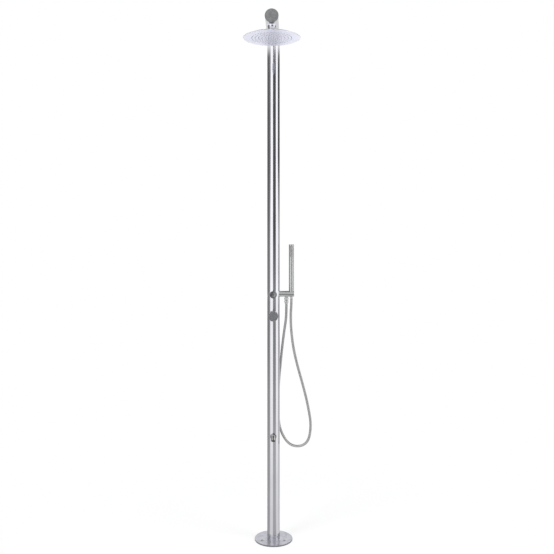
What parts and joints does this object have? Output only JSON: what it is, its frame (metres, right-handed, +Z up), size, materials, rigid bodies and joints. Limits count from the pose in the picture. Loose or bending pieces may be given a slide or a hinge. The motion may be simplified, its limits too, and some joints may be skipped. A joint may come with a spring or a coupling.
{
  "type": "outdoor shower post",
  "caption": "Free-standing round stainless shower post with a floor plate, rain head on a ball joint, mixer knob, diverter knob, hand shower on a flexible hose and a foot spout.",
  "frame": {"origin": "centre of the anchor circle on the floor face of the base plate, on the column's axis", "axes": "+Z up along the column, -Y to the user and along the arm, +X to the hand shower"},
  "size_m": [0.309, 0.531, 2.43],
  "materials": {
    "polished_steel": "polished stainless steel",
    "satin_steel": "plain drawn stainless steel",
    "hose_metal": "interlocked metal strip, fine grooves",
    "brass": "machined brass",
    "white_plastic": "moulded plastic",
    "black_plastic": "moulded plastic",
    "silicone": "grey silicone",
    "rubber": "black rubber"
  },
  "bodies": {
    "column": {"base_plate": "polished_steel", "post_tube": "polished_steel", "arm_tube": "polished_steel", "arm_end_cap": "polished_steel", "head_inlet_elbow": "brass", "riser_pipe": "satin_steel", "cold_pipe": "satin_steel", "hot_pipe": "satin_steel", "cold_inlet_nut": "brass", "hot_inlet_nut": "brass", "link_pipe": "satin_steel", "foot_pipe": "satin_steel", "mixer_body": "brass", "mixer_cartridge": "white_plastic", "mixer_clamp_nut": "brass", "mixer_sleeve": "polished_steel", "diverter_body": "brass", "diverter_cartridge": "white_plastic", "diverter_clamp_nut": "brass", "diverter_sleeve": "polished_steel", "foot_nipple": "brass", "foot_rosette": "polished_steel", "foot_spout": "polished_steel", "foot_aerator": "black_plastic", "shower_bar": "polished_steel", "union_collar": "polished_steel", "union_washer": "rubber", "hose_swivel_nut": "polished_steel", "shower_hose": "hose_metal", "swivel_socket": "polished_steel", "swivel_nut": "polished_steel"},
    "mixer": {"mixer_handle": "polished_steel", "mixer_spindle": "brass", "mixer_grub_screw": "satin_steel"},
    "diverter": {"diverter_knob": "polished_steel", "diverter_spindle": "brass", "diverter_screw": "satin_steel", "diverter_cap": "black_plastic"},
    "handset": {"handset_tube": "polished_steel", "handset_end_cap": "polished_steel", "handset_spray_plate": "satin_steel", "handset_nozzle_strip": "silicone", "hose_cone_nut": "polished_steel", "cone_nut_washer": "rubber"},
    "liner": {"ball_liner": "white_plastic"},
    "rain_head": {"ball_stem": "polished_steel", "stem_washer": "rubber", "head_boss": "polished_steel", "head_chamber": "polished_steel", "head_gasket": "rubber", "nozzle_mat": "silicone", "head_face_plate": "polished_steel"}
  },
  "joints": [
    {"name": "mixer_turn", "type": "hinge", "parent": "column", "child": "mixer", "pos_m": [0, -0.08, 1.076], "axis": [0, -1, 0], "range_deg": [-100, 0]},
    {"name": "diverter_turn", "type": "hinge", "parent": "column", "child": "diverter", "pos_m": [0, -0.055, 1.174], "axis": [0, -1, 0], "range_deg": [-90, 90]},
    {"name": "handset_lift", "type": "slide", "parent": "column", "child": "handset", "axis": [0, 0, 1], "range_m": [0, 0.045]},
    {"name": "head_tilt", "type": "hinge", "parent": "column", "child": "liner", "pos_m": [0, -0.316, 2.358], "axis": [1, 0, 0], "range_deg": [-12, 12]},
    {"name": "head_roll", "type": "hinge", "parent": "liner", "child": "rain_head", "pos_m": [0, -0.316, 2.358], "axis": [0, 1, 0], "range_deg": [-12, 12]}
  ]
}
